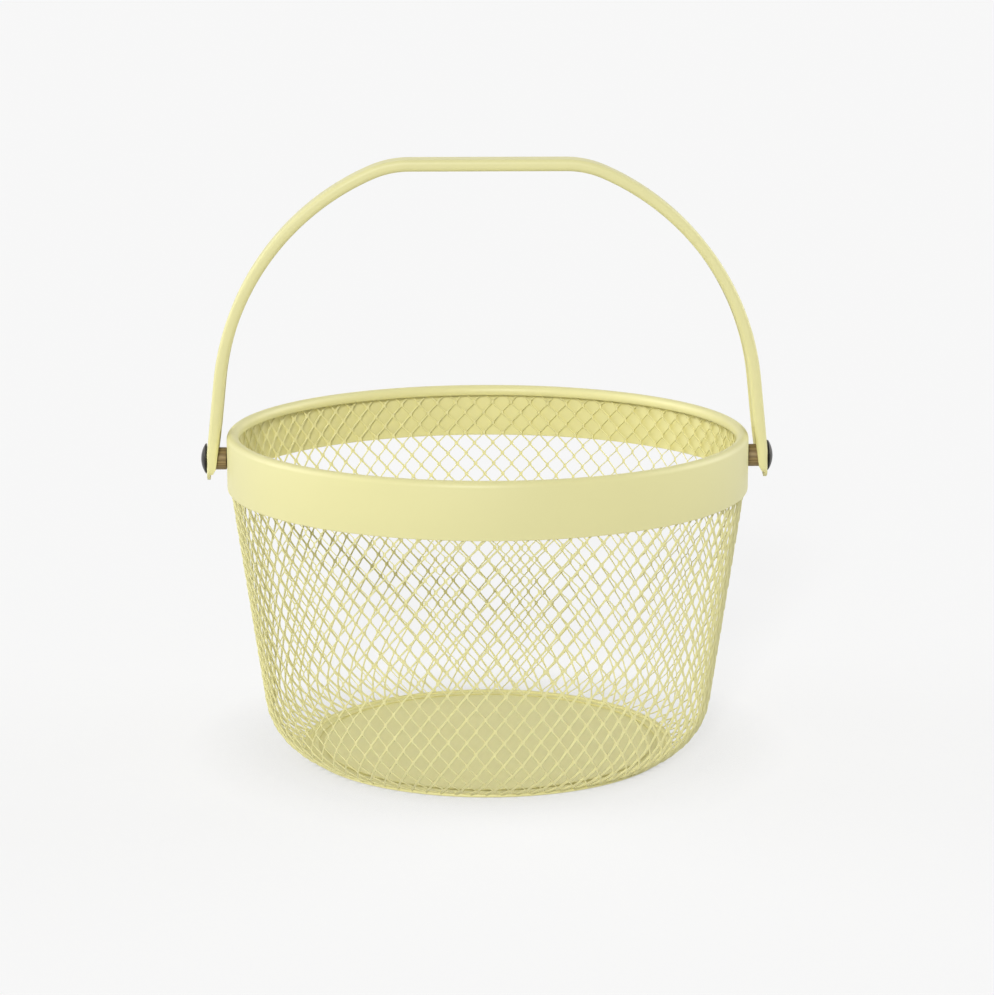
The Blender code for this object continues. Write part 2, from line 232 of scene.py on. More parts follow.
class BasketFinish(bpy.types.PropertyGroup):
    """Colours of the finishes"""

    coating: FloatVectorProperty(
        name="Coating", description="Powder coating of the steel sheet",
        default=(0.820, 0.775, 0.378), size=3, min=0.0, max=1.0, subtype="COLOR")
    dark_steel: FloatVectorProperty(
        name="Dark steel", description="Screw heads",
        default=(0.040, 0.038, 0.034), size=3, min=0.0, max=1.0, subtype="COLOR")
    bare_steel: FloatVectorProperty(
        name="Bare steel", description="Nuts and washers",
        default=(0.560, 0.550, 0.530), size=3, min=0.0, max=1.0, subtype="COLOR")
    wood_light: FloatVectorProperty(
        name="Light wood", description="Early wood of the spacers",
        default=(0.350, 0.250, 0.105), size=3, min=0.0, max=1.0, subtype="COLOR")
    wood_dark: FloatVectorProperty(
        name="Dark wood", description="Late wood and pores of the spacers",
        default=(0.205, 0.140, 0.055), size=3, min=0.0, max=1.0, subtype="COLOR")
    paper: FloatVectorProperty(
        name="Paper", description="Floor and backdrop where they are seen",
        default=(0.921, 0.921, 0.921), size=3, min=0.0, max=1.0, subtype="COLOR")


def deselect():
    """Leave edit mode with nothing selected."""
    if bpy.context.object and bpy.context.object.mode != "OBJECT":
        bpy.ops.object.mode_set(mode="OBJECT")
    bpy.ops.object.select_all(action="DESELECT")


def activate(piece):
    """Select one object alone."""
    deselect()
    piece.select_set(True)
    bpy.context.view_layer.objects.active = piece


def edit(piece, kind="FACE", action="DESELECT"):
    """Open a piece's mesh with nothing or all of it selected."""
    activate(piece)
    bpy.ops.object.mode_set(mode="EDIT")
    bpy.ops.mesh.select_mode(type=kind)
    bpy.ops.mesh.select_all(action=action)


def pick(piece, kind, test):
    """Select the mesh elements that pass a test, in edit mode."""
    work = bmesh.from_edit_mesh(piece.data)
    elements = {"VERT": work.verts, "EDGE": work.edges, "FACE": work.faces}[kind]
    for element in elements:
        element.select_set(bool(test(element)))
    work.select_flush_mode()
    bmesh.update_edit_mesh(piece.data)


def middle(element):
    """Middle point of an edge or a face."""
    points = [vertex.co for vertex in element.verts]
    return sum(points, Vector()) / len(points)


def extrude(step, edges=False):
    """Extrude what is selected by a step, as loose edges or as a region."""
    operator = bpy.ops.mesh.extrude_edges_move if edges else bpy.ops.mesh.extrude_region_move
    operator(TRANSFORM_OT_translate={"value": step})


def weld(piece, distance=WELD_DISTANCE):
    """Merge doubles and turn all faces outward."""
    edit(piece, "VERT", "SELECT")
    bpy.ops.mesh.remove_doubles(threshold=distance)
    bpy.ops.mesh.normals_make_consistent(inside=False)
    bpy.ops.object.mode_set(mode="OBJECT")


def apply_modifier(piece, kind, **values):
    """Add one modifier with its values and apply it."""
    activate(piece)
    modifier = piece.modifiers.new(kind.title(), kind)
    for name, value in values.items():
        setattr(modifier, name, value)
    bpy.ops.object.modifier_apply(modifier=modifier.name)


def repeat(piece, count, step):
    """Copy a piece's mesh a number of times at one step."""
    apply_modifier(
        piece, "ARRAY", count=count, use_relative_offset=False, use_constant_offset=True,
        constant_offset_displace=step)


def cut_out(piece, cutter):
    """Take a cutting shape out of a piece and delete it."""
    apply_modifier(piece, "BOOLEAN", operation="DIFFERENCE", solver="EXACT", object=cutter)
    bpy.data.objects.remove(cutter, do_unlink=True)


def bore(piece, length, place=(0, 0, 0), turn=0.0):
    """Drill a screw's hole through a piece, along Z or along a line turned from it about Y."""
    deselect()
    bpy.ops.mesh.primitive_cylinder_add(
        vertices=PIVOT_STEPS, radius=BORE_RADIUS, depth=length, location=place,
        rotation=(0, turn, 0))
    cut_out(piece, bpy.context.object)


def finish_piece(piece, name, material, body, slot, *replaced, angle=35):
    """Name a piece, smooth it, give it its material and hang it on its CAD body."""
    activate(piece)
    bpy.ops.object.transform_apply(location=True, rotation=True, scale=True)
    piece.name = name
    piece.data.name = name
    bpy.ops.object.shade_smooth_by_angle(angle=radians(angle))
    piece.data.materials.clear()
    piece.data.materials.append(material)
    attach(piece, body)
    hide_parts(*replaced)


def turned(rings, steps, closed=False):
    """Extrude and scale one circle through (radius, height) rings about Z."""
    radius, height = rings[0]
    deselect()
    bpy.ops.mesh.primitive_circle_add(
        vertices=steps, radius=radius, fill_type="NOTHING" if closed else "NGON",
        location=(0, 0, height))
    piece = bpy.context.object
    bpy.ops.object.transform_apply(location=True)
    edit(piece, "EDGE" if closed else "FACE", "SELECT")
    path = rings[1:] + rings[:1] if closed else rings[1:]
    for next_radius, next_height in path:
        extrude((0, 0, next_height - height), edges=closed)
        ratio = next_radius / radius
        bpy.ops.transform.resize(
            value=(ratio, ratio, 1), center_override=(0, 0, next_height))
        radius, height = next_radius, next_height
    weld(piece)
    return piece


def arc(centre_radius, centre_height, radius, start, end, steps):
    """(radius, height) points of an arc between two angles in degrees."""
    points = []
    for step in range(steps + 1):
        angle = radians(start + (end - start) * step / steps)
        points.append((centre_radius + radius * cos(angle), centre_height + radius * sin(angle)))
    return points


def onto_pivot(piece, side, station):
    """Turn a piece made about Z so that its +Z points outward along X on one side."""
    turn = Matrix.Rotation(side * pi / 2, 4, "Y")
    place = Matrix.Translation((side * station, 0, PIVOT_HEIGHT))
    piece.data.transform(place @ turn)


def side_name(side):
    """Name of a side seen from the front."""
    return "left" if side < 0 else "right"


def wall_line():
    """Point function of the mesh wall's middle line, and the length of that line.

    The function gives radius, height and lean at a run, which is a length down the wall.
    """
    centre_radius = MESH_END_RADIUS - CORNER_RADIUS * cos(CORNER_END_TURN)
    centre_height = MESH_END_HEIGHT + CORNER_RADIUS * sin(CORNER_END_TURN)
    across = MESH_RADIUS - centre_radius
    rise = BAND_BOTTOM - centre_height
    straight = MESH_TOP - BAND_BOTTOM
    cone = sqrt(across ** 2 + rise ** 2 - CORNER_RADIUS ** 2)
    taper = atan2(cone, CORNER_RADIUS) - atan2(rise, across)
    total = straight + cone + CORNER_RADIUS * (CORNER_END_TURN - taper)

    def point_at(run):
        if run > total:
            radius, height, lean = point_at(total)
            run -= total
            return radius - run * sin(lean), height - run * cos(lean), lean
        if run < straight:
            return MESH_RADIUS, MESH_TOP - run, 0.0
        run -= straight
        if run < cone:
            return MESH_RADIUS - run * sin(taper), BAND_BOTTOM - run * cos(taper), taper
        turn = taper + (run - cone) / CORNER_RADIUS
        height = centre_height - CORNER_RADIUS * sin(turn)
        return centre_radius + CORNER_RADIUS * cos(turn), height, turn

    return point_at, total + MESH_TUCK


def bond_runs(point_at, total, columns):
    """Runs of the rows of bonds: each strand keeps its length, and the last row meets the hem."""
    runs = [FIRST_RUN]
    for _ in range(MESH_STEPS):
        half_pitch = pi * point_at(runs[-1] + STRAND_LENGTH / 3)[0] / columns
        runs.append(runs[-1] + sqrt(STRAND_LENGTH ** 2 - half_pitch ** 2))
    late = runs[-1] - total
    for step in range(1, LATE_ROWS + 1):
        runs[step - 1 - LATE_ROWS] -= late * (step / LATE_ROWS) ** 2
    return runs


def flat_expanded_sheet(sizes):
    """Model one bond with its two upper strands and array it to a flat sheet of diamonds."""
    half_wide, half_high = FLAT_WIDE / 2, FLAT_HIGH / 2
    bond, strand = sizes.bond_height, sizes.strand_width
    deselect()
    bpy.ops.mesh.primitive_cube_add(size=1)
    sheet = bpy.context.object
    edit(sheet, action="SELECT")
    bpy.ops.transform.resize(value=(2 * strand, sizes.strand_sheet, bond))
    bpy.ops.mesh.bisect(plane_co=(0, 0, 0), plane_no=(1, 0, 0))
    # The bond opens above and below, where its strands go on; its edges stay for them
    pick(sheet, "FACE", lambda face: abs(face.normal.z) > 0.9)
    bpy.ops.mesh.delete(type="ONLY_FACE")
    bpy.ops.mesh.select_mode(type="EDGE")
    tiny = bond / 100
    for way in (1, -1):
        pick(sheet, "EDGE", lambda edge: all(
            abs(vertex.co.z - bond / 2) < tiny and -tiny < way * vertex.co.x < strand + tiny
            for vertex in edge.verts))
        extrude((way * (half_wide - strand), 0, half_high - bond), edges=True)
    bpy.ops.object.mode_set(mode="OBJECT")
    repeat(sheet, sizes.mesh_columns, (FLAT_WIDE, 0, 0))
    activate(sheet)
    bpy.ops.object.duplicate()
    between = bpy.context.object
    edit(between, action="SELECT")
    bpy.ops.transform.translate(value=(half_wide, 0, half_high))
    bpy.ops.object.mode_set(mode="OBJECT")
    repeat(sheet, MESH_STEPS // 2 + 1, (0, 0, FLAT_HIGH))
    repeat(between, MESH_STEPS // 2, (0, 0, FLAT_HIGH))
    activate(sheet)
    between.select_set(True)
    bpy.ops.object.join()
    top = MESH_STEPS * half_high + bond / 2 + tiny
    edit(sheet, "VERT")
    pick(sheet, "VERT", lambda vertex: vertex.co.z > top)
    bpy.ops.mesh.delete(type="VERT")
    bpy.ops.object.mode_set(mode="OBJECT")
    return sheet


def scatter(first, second):
    """Small even-handed irregularity from two whole numbers, between -1 and 1."""
    value = sin(first * SCATTER_WAVES[0] + second * SCATTER_WAVES[1]) * SCATTER_GAIN
    return 2 * (value - int(value // 1)) - 1


def form_bowl(sheet, sizes):
    """Lay each bond of the flat sheet on the bowl, turned to one side."""
    point_at, total = wall_line()
    columns, slant = sizes.mesh_columns, sizes.strand_slant
    runs = bond_runs(point_at, total - sizes.bond_height / 2, columns)
    half_wide, half_high = FLAT_WIDE / 2, FLAT_HIGH / 2
    for vertex in sheet.data.vertices:
        half_column = round(vertex.co.x / half_wide)
        row = round(vertex.co.z / half_high)
        across = vertex.co.x - half_column * half_wide
        rise = vertex.co.z - row * half_high
        out = -vertex.co.y
        half_column %= 2 * columns
        down = MESH_STEPS - row
        stray = RUN_SCATTER * scatter(down, half_column) if 0 < row < MESH_STEPS else 0.0
        radius, height, lean = point_at(runs[down] + stray)
        around = 2 * pi * ((half_column / 2 + FIRST_COLUMN - ROW_DRIFT * down) / columns)
        around += 2 * pi / columns * BACK_DRIFT * (1 - cos(around)) / 2
        around += ROUND_SCATTER * scatter(half_column, down)
        outward = Vector((sin(around), -cos(around), 0))
        along = Vector((cos(around), sin(around), 0))
        up = outward * sin(lean) + Vector((0, 0, cos(lean)))
        normal = outward * cos(lean) - Vector((0, 0, sin(lean)))
        turn = sizes.strand_turn + TURN_SCATTER * scatter(half_column + TURN_DRAW, down)
        side = (along * cos(turn) + normal * sin(turn)) * cos(slant) - up * sin(slant)
        face = normal * cos(turn) - along * sin(turn)
        centre = outward * radius + Vector((0, 0, height))
        vertex.co = centre + side * across + up * rise + face * out


def feed(tree, socket, value):
    """Link a socket to another node's output, or set a plain value on it."""
    if isinstance(value, bpy.types.NodeSocket):
        tree.links.new(value, socket)
    else:
        socket.default_value = value


def feed_named(tree, node, **values):
    """Feed a node's inputs by name, with an underscore for each space."""
    for name, value in values.items():
        feed(tree, node.inputs[name.replace("_", " ")], value)


def add_node(tree, kind, *ordered, **named):
    """Add a node; named values are settings or inputs, the others its first inputs in order."""
    node = tree.nodes.new(kind)
    for name, value in named.items():
        if name.replace("_", " ") in node.inputs:
            feed_named(tree, node, **{name: value})
        else:
            setattr(node, name, value)
    for place, value in enumerate(ordered):
        feed(tree, node.inputs[place], value)
    return node


def calculate(tree, operation, first, second, clamp=False):
    """Output of a Math node on two outputs or numbers."""
    node = add_node(
        tree, "ShaderNodeMath", first, second, operation=operation, use_clamp=clamp)
    return node.outputs[0]


def mix_colours(tree, factor, first, second):
    """Output of a Mix node for colours, whose sockets come after those of the other types."""
    node = add_node(tree, "ShaderNodeMix", factor, data_type="RGBA")
    feed(tree, node.inputs[6], first)
    feed(tree, node.inputs[7], second)
    return node.outputs[2]


def object_place(tree, **mapping):
    """Object coordinates, moved and scaled by a Mapping node where values for it are given."""
    place = add_node(tree, "ShaderNodeTexCoord").outputs["Object"]
    if not mapping:
        return place
    return add_node(tree, "ShaderNodeMapping", Vector=place, **mapping).outputs[0]


def new_group(name, inputs, outputs):
    """Shader node group with named sockets; returns its tree and its two end nodes."""
    tree = bpy.data.node_groups.new(name, "ShaderNodeTree")
    for label, kind, value in inputs:
        socket = tree.interface.new_socket(name=label, in_out="INPUT", socket_type=kind)
        if value is not None:
            socket.default_value = value
    for label, kind in outputs:
        tree.interface.new_socket(name=label, in_out="OUTPUT", socket_type=kind)
    start = tree.nodes.new("NodeGroupInput")
    end = tree.nodes.new("NodeGroupOutput")
    return tree, start, end


def scaled_noise(tree, start, scale_name, detail):
    """Noise on the group's coordinate, whose scale comes from the group's input."""
    noise = add_node(
        tree, "ShaderNodeTexNoise", Detail=detail, Scale=start.outputs[scale_name],
        Vector=start.outputs["Vector"])
    return noise.outputs["Fac"]


def spread_roughness(tree, start, change):
    """The group's roughness, moved by a change times the group's spread."""
    spread = calculate(tree, "MULTIPLY", change, start.outputs["Roughness Spread"])
    return calculate(tree, "ADD", spread, start.outputs["Roughness"], clamp=True)


def surface_grain_group():
    """Fine texture of a surface: a bumped normal and a roughness that varies."""
    inputs = [
        ("Vector", "NodeSocketVector", None),
        ("Fine Scale", "NodeSocketFloat", 900.0),
        ("Broad Scale", "NodeSocketFloat", 60.0),
        ("Roughness", "NodeSocketFloat", 0.45),
        ("Roughness Spread", "NodeSocketFloat", 0.10),
        ("Depth", "NodeSocketFloat", 0.00002),
    ]
    outputs = [("Roughness", "NodeSocketFloat"), ("Normal", "NodeSocketVector")]
    tree, start, end = new_group("surface_grain", inputs, outputs)
    fine = scaled_noise(tree, start, "Fine Scale", 2.0)
    broad = scaled_noise(tree, start, "Broad Scale", 3.0)
    bump = add_node(
        tree, "ShaderNodeBump", Strength=1.0, Distance=start.outputs["Depth"], Height=fine)
    centred = calculate(tree, "SUBTRACT", broad, 0.5)
    feed_named(
        tree, end, Roughness=spread_roughness(tree, start, centred), Normal=bump.outputs[0])
    return tree


def tone_drift_group():
    """Slow change between two tones of one colour."""
    inputs = [
        ("Vector", "NodeSocketVector", None),
        ("Scale", "NodeSocketFloat", 25.0),
        ("Tone", "NodeSocketColor", (0.8, 0.8, 0.8, 1.0)),
        ("Second Tone", "NodeSocketColor", (0.7, 0.7, 0.7, 1.0)),
    ]
    tree, start, end = new_group("tone_drift", inputs, [("Color", "NodeSocketColor")])
    noise = scaled_noise(tree, start, "Scale", 4.0)
    tones = mix_colours(tree, noise, start.outputs["Tone"], start.outputs["Second Tone"])
    feed_named(tree, end, Color=tones)
    return tree


def turning_marks_group():
    """Rings left by turning or polishing about the pivots' line."""
    inputs = [
        ("Vector", "NodeSocketVector", None),
        ("Ring Spacing", "NodeSocketFloat", 0.0004),
        ("Roughness", "NodeSocketFloat", 0.3),
        ("Roughness Spread", "NodeSocketFloat", 0.1),
    ]
    outputs = [("Roughness", "NodeSocketFloat"), ("Height", "NodeSocketFloat")]
    tree, start, end = new_group("turning_marks", inputs, outputs)
    split = add_node(tree, "ShaderNodeSeparateXYZ", start.outputs["Vector"])
    flat = add_node(
        tree, "ShaderNodeCombineXYZ", Y=split.outputs["Y"], Z=split.outputs["Z"])
    length = add_node(tree, "ShaderNodeVectorMath", flat.outputs[0], operation="LENGTH")
    count = calculate(
        tree, "DIVIDE", length.outputs["Value"], start.outputs["Ring Spacing"])
    rings = add_node(
        tree, "ShaderNodeTexNoise", noise_dimensions="1D", Scale=1.0, Detail=3.0, W=count)
    height = rings.outputs["Fac"]
    feed_named(tree, end, Roughness=spread_roughness(tree, start, height), Height=height)
    return tree


def use_group(tree, name, build, **values):
    """Place a shared node group, made on first use, with its own values."""
    node = tree.nodes.new("ShaderNodeGroup")
    node.node_tree = bpy.data.node_groups.get(name) or build()
    feed_named(tree, node, **values)
    return node


def four(colour, factor=1.0):
    """Colour with alpha, its tone scaled."""
    return tuple(min(channel * factor, 1.0) for channel in colour) + (1.0,)


def shared_material(name, build):
    """Principled material, made on first use; build wires its nodes."""
    known = bpy.data.materials.get(name)
    if known:
        return known
    material = bpy.data.materials.new(name)
    material.use_nodes = True
    tree = material.node_tree
    build(tree, tree.nodes["Principled BSDF"])
    return material


def coating_material():
    """Satin powder coating with a fine orange peel and a slight drift of tone."""
    colour = bpy.context.scene.basket_finish.coating

    def build(tree, shader):
        place = object_place(tree)
        drift = use_group(
            tree, "tone_drift", tone_drift_group, Vector=place, Scale=22.0,
            Tone=four(colour, 1.02), Second_Tone=four(colour, 0.98))
        grain = use_group(
            tree, "surface_grain", surface_grain_group, Vector=place, Fine_Scale=1400.0,
            Broad_Scale=90.0, Roughness=0.46, Roughness_Spread=0.12, Depth=0.000012)
        feed_named(
            tree, shader, Base_Color=drift.outputs["Color"],
            Roughness=grain.outputs["Roughness"], Normal=grain.outputs["Normal"],
            Specular_IOR_Level=0.62)

    return shared_material("powder_coating", build)


def steel_material(name, colour, roughness, tone_spread):
    """Turned or plated steel on the pivots."""

    def build(tree, shader):
        place = object_place(tree, Location=(0, 0, -PIVOT_HEIGHT))
        marks = use_group(
            tree, "turning_marks", turning_marks_group, Vector=place, Ring_Spacing=0.00035,
            Roughness=roughness, Roughness_Spread=0.16)
        drift = use_group(
            tree, "tone_drift", tone_drift_group, Vector=place, Scale=700.0,
            Tone=four(colour, 1 + tone_spread), Second_Tone=four(colour, 1 - tone_spread))
        bump = add_node(
            tree, "ShaderNodeBump", Strength=0.35, Distance=0.00003,
            Height=marks.outputs["Height"])
        feed_named(
            tree, shader, Base_Color=drift.outputs["Color"],
            Roughness=marks.outputs["Roughness"], Normal=bump.outputs[0], Metallic=1.0)

    return shared_material(name, build)


def wood_material():
    """Oiled wood of the spacers: growth rings and pores that run along the pivots' line."""
    finish = bpy.context.scene.basket_finish

    def build(tree, shader):
        place = object_place(
            tree, Location=(0.0, HEART_FRONT, -PIVOT_HEIGHT - HEART_OVER),
            Scale=(GRAIN_SCALE, 1.0, 1.0))
        rings = add_node(
            tree, "ShaderNodeTexWave", wave_type="RINGS", rings_direction="X", Vector=place,
            Scale=260.0, Distortion=3.5, Detail=3.0, Detail_Scale=2.0)
        pores = add_node(tree, "ShaderNodeTexNoise", Vector=place, Scale=2600.0, Detail=2.0)
        dark = calculate(tree, "MULTIPLY", rings.outputs["Fac"], pores.outputs["Fac"])
        ramp = add_node(tree, "ShaderNodeValToRGB", Fac=dark)
        tones = ((0.08, finish.wood_dark), (0.55, finish.wood_light))
        for element, (position, colour) in zip(ramp.color_ramp.elements, tones):
            element.position = position
            element.color = four(colour)
        grain = use_group(
            tree, "surface_grain", surface_grain_group, Vector=place, Fine_Scale=1800.0,
            Broad_Scale=300.0, Roughness=0.55, Roughness_Spread=0.25, Depth=0.00004)
        feed_named(
            tree, shader, Base_Color=ramp.outputs["Color"],
            Roughness=grain.outputs["Roughness"], Normal=grain.outputs["Normal"])

    return shared_material("oiled_wood", build)


class BASKET_OT_mesh_wall(bpy.types.Operator):
    """Expanded steel sheet: bonds and leaning strands, drawn to a bowl"""

    bl_idname = "basket.mesh_wall"
    bl_label = "Mesh wall"

    def execute(self, context):
        sizes = context.scene.basket_sizes
        sheet = flat_expanded_sheet(sizes)
        form_bowl(sheet, sizes)
        weld(sheet, 2 * WELD_DISTANCE)
        edit(sheet, "EDGE")
        bpy.ops.mesh.select_non_manifold()
        bpy.ops.mesh.fill_holes(sides=4)
        bpy.ops.mesh.select_all(action="SELECT")
        bpy.ops.mesh.normals_make_consistent(inside=False)
        bpy.ops.object.mode_set(mode="OBJECT")
        apply_modifier(
            sheet, "BEVEL", width=sizes.edge_round, segments=1, limit_method="ANGLE",
            angle_limit=radians(50), use_clamp_overlap=False)
        finish_piece(
            sheet, "expanded_mesh", coating_material(), "basket", "yellow_coating",
            "mesh_wall", angle=60)
        return {"FINISHED"}


class BASKET_OT_rim_band(bpy.types.Operator):
    """Steel strip hoop with its top edge rolled inward over the mesh"""

    bl_idname = "basket.rim_band"
    bl_label = "Rim band"

    def execute(self, context):
        centre = RIM_RADIUS - ROLL_RADIUS
        top = RIM_HEIGHT - ROLL_RADIUS
        edge = BAND_SHEET / 2
        rings = arc(centre, top, ROLL_RADIUS, 0, ROLL_TURN, ROLL_STEPS)
        rings += arc(centre, top, ROLL_RADIUS - BAND_SHEET, ROLL_TURN, 0, ROLL_STEPS)
        rings += arc(RIM_RADIUS - edge, BAND_BOTTOM + edge, edge, 180, 360, 6)
        band = turned(rings, RIM_STEPS, closed=True)
        bore(band, length=2 * RIM_RADIUS + 0.02, place=(0, 0, PIVOT_HEIGHT), turn=pi / 2)
        finish_piece(
            band, "rolled_rim_band", coating_material(), "basket", "yellow_coating", "rim_band")
        return {"FINISHED"}


class BASKET_OT_base_plate(bpy.types.Operator):
    """Pressed disc with a slot, a bead, a groove and the hem that stands on the floor"""

    bl_idname = "basket.base_plate"
    bl_label = "Base plate"

    def execute(self, context):
        top, low, ease, roll = DISC_HEIGHT, SLOT_FLOOR, PLATE_EASE, HEM_ROLL
        slot, bead = DISC_EDGE - SLOT_DEPTH, BEAD_START
        rings = [
            (CENTRE_RADIUS, top), (DISC_EDGE - 4 * ease, top), (DISC_EDGE - ease, top - ease / 6),
            (DISC_EDGE, top - ease / 2), (DISC_EDGE, top - ease), (slot, top - 4 * ease / 3),
            (slot, low), (bead + ease, low), (bead + ease, low + 2 * ease / 3),
            (bead, top - ease), (bead, top - ease / 2), (bead + ease, top - ease / 6),
            (bead + 4 * ease, top + ease / 3), (BEAD_END, top), (BEAD_END + 4 * ease, top - ease),
            (HEM_START - 2 * roll, top - roll),
        ]
        rings += arc(HEM_START, HEM_CREST - roll, roll, 200, 90, 5)
        rings += arc(HEM_RADIUS - HEM_ROUND, HEM_CREST - HEM_ROUND, HEM_ROUND, 90, 0, 5)
        rings += arc(HEM_RADIUS - roll, roll, roll, 0, -90, 4)
        rings += [
            (HEM_START + 2 * PLATE_UNDER, 0.0), (HEM_START - 4 * PLATE_UNDER, PLATE_UNDER),
            (CENTRE_RADIUS, PLATE_UNDER),
        ]
        plate = turned(rings, RIM_STEPS)
        finish_piece(
            plate, "pressed_base_plate", coating_material(), "basket", "yellow_coating",
            "base_plate")
        return {"FINISHED"}


def strap_section():
    """Lipped channel section as one face ring in the YZ plane, under the middle of the grip."""
    deselect()
    bpy.ops.mesh.primitive_plane_add(
        size=1, location=(0, 0, STRAP_MIDDLE), rotation=(0, pi / 2, 0))
    strap = bpy.context.object
    bpy.ops.object.transform_apply(location=True, rotation=True)
    edit(strap, "VERT", "SELECT")
    bpy.ops.transform.resize(
        value=(1, HANDLE_WIDTH, STRAP_DEPTH), center_override=(0, 0, STRAP_MIDDLE))
    bpy.ops.mesh.bevel(offset=STRAP_ROUND, segments=7, affect="VERTICES")
    bpy.ops.mesh.select_mode(type="FACE")
    bpy.ops.mesh.select_all(action="SELECT")
    bpy.ops.mesh.inset(thickness=STRAP_SHEET)
    bpy.ops.mesh.delete(type="FACE")
    lip_tip = HANDLE_WIDTH / 2 - LIP_WIDTH
    for side in (-1, 1):
        bpy.ops.mesh.select_all(action="SELECT")
        bpy.ops.mesh.bisect(plane_co=(0, side * lip_tip, 0), plane_no=(0, 1, 0))
    pick(strap, "FACE", lambda face: (
        abs(middle(face).y) < lip_tip - STRAP_SHEET / 10 and middle(face).z < STRAP_MIDDLE))
    bpy.ops.mesh.delete(type="FACE")
    return strap


def sweep_strap(strap):
    """Extrude and spin the section from the middle of the grip to the right tip."""
    leg_x = WEB_OUTER - LEG_LENGTH * sin(LEG_TILT)
    leg_top = PIVOT_HEIGHT + PAD_RISE + LEG_LENGTH * cos(LEG_TILT)
    arch_x = leg_x - ARCH_RADIUS * cos(LEG_TILT)
    arch_z = leg_top - ARCH_RADIUS * sin(LEG_TILT)
    grip_half = leg_x - ARCH_RADIUS * (
        cos(LEG_TILT) - cos(ARCH_END_TILT)) - BEND_RADIUS * cos(ARCH_END_TILT)
    pad_reach = PAD_RADIUS * sin(LEG_TILT) / (1 + cos(LEG_TILT))
    pad_z = PIVOT_HEIGHT + PAD_RISE - pad_reach

    def bend(turn, centre_x, centre_z, steps):
        """Spin the open end about a line along Y."""
        bpy.ops.mesh.spin(
            steps=steps, angle=turn, center=(centre_x, 0, centre_z), axis=(0, -1, 0))

    bpy.ops.mesh.select_all(action="SELECT")
    extrude((grip_half, 0, 0))
    bend(pi / 2 - ARCH_END_TILT, grip_half, HANDLE_TOP - BEND_RADIUS, steps=10)
    bend(ARCH_END_TILT - LEG_TILT, arch_x, arch_z, steps=40)
    run = LEG_LENGTH - pad_reach
    extrude((run * sin(LEG_TILT), 0, -run * cos(LEG_TILT)))
    bend(LEG_TILT, WEB_OUTER - PAD_RADIUS, pad_z, steps=4)
    drop = PAD_RISE - pad_reach + TONGUE_LENGTH
    extrude((0, 0, -drop))
    bpy.ops.object.mode_set(mode="OBJECT")


def prism(outline, half_length, across):
    """Closed cutting shape: an outline in a plane, extruded both ways across it."""
    mesh = bpy.data.meshes.new("cutter")
    mesh.from_pydata([across(u, v, -half_length) for u, v in outline], [],
                     [tuple(range(len(outline)))])
    cutter = bpy.data.objects.new("cutter", mesh)
    bpy.context.scene.collection.objects.link(cutter)
    edit(cutter, action="SELECT")
    extrude(Vector(across(0, 0, half_length)) - Vector(across(0, 0, -half_length)))
    bpy.ops.mesh.select_all(action="SELECT")
    bpy.ops.mesh.normals_make_consistent(inside=False)
    bpy.ops.object.mode_set(mode="OBJECT")
    return cutter


def face_at(height):
    """Outer face of the tilted leg at a height over the pivot."""
    return WEB_OUTER - (height - PAD_RISE) * sin(LEG_TILT) / cos(LEG_TILT)


def shape_strap_ends(strap):
    """Bite the tongue, end the lips above the spacer, slope the sides and bore, at the right."""
    half = HANDLE_WIDTH / 2
    radius = half + BITE_MARGIN
    centre = PIVOT_HEIGHT - TONGUE_LENGTH + radius
    low = centre - radius - CUT_REACH
    bite = [(-half - CUT_REACH, centre)] + arc(0, centre, radius, -180, 0, 36)
    bite += [(half + CUT_REACH, centre), (half + CUT_REACH, low), (-half - CUT_REACH, low)]
    cut_out(strap, prism(bite, half_length=0.02, across=lambda u, v, w: (WEB_OUTER + w, u, v)))
    flange = STRAP_DEPTH - STRAP_SHEET - FLANGE_MARGIN
    web = STRAP_SHEET + BITE_MARGIN
    start = face_at(LIP_START) - STRAP_DEPTH
    inner = start - CUT_REACH
    below = -TONGUE_LENGTH - CUT_REACH
    lip_line = [
        (face_at(LIP_END) - flange, LIP_END), (WEB_OUTER - flange, PAD_RISE),
        (WEB_OUTER - flange, below),
    ]
    side_line = [
        (WEB_OUTER - flange, -FLANGE_END), (WEB_OUTER - web, -FLANGE_TIP),
        (WEB_OUTER - web, below),
    ]
    between = half - STRAP_SHEET - BITE_MARGIN / 8
    for line, half_length in ((lip_line, between), (side_line, half + CUT_REACH)):
        outline = [(start, LIP_START), *line, (inner, below), (inner, LIP_START)]
        outline = [(u, PIVOT_HEIGHT + v) for u, v in outline]
        cut_out(strap, prism(outline, half_length, lambda u, v, w: (u, w, v)))
    bore(strap, length=0.03, place=(WEB_OUTER, 0, PIVOT_HEIGHT), turn=pi / 2)


class BASKET_OT_handle(bpy.types.Operator):
    """Lipped channel of steel strip, bent to an arch with round tips"""

    bl_idname = "basket.handle"
    bl_label = "Handle"

    def execute(self, context):
        strap = strap_section()
        sweep_strap(strap)
        weld(strap)
        shape_strap_ends(strap)
        edit(strap)
        pick(strap, "FACE", lambda face: all(
            abs(vertex.co.x) < WELD_DISTANCE for vertex in face.verts))
        bpy.ops.mesh.delete(type="FACE")
        bpy.ops.object.mode_set(mode="OBJECT")
        apply_modifier(
            strap, "MIRROR", use_axis=(True, False, False), merge_threshold=2 * WELD_DISTANCE)
        weld(strap)
        finish_piece(
            strap, "strap_handle", coating_material(), "handle", "yellow_coating", "handle",
            angle=30)
        return {"FINISHED"}


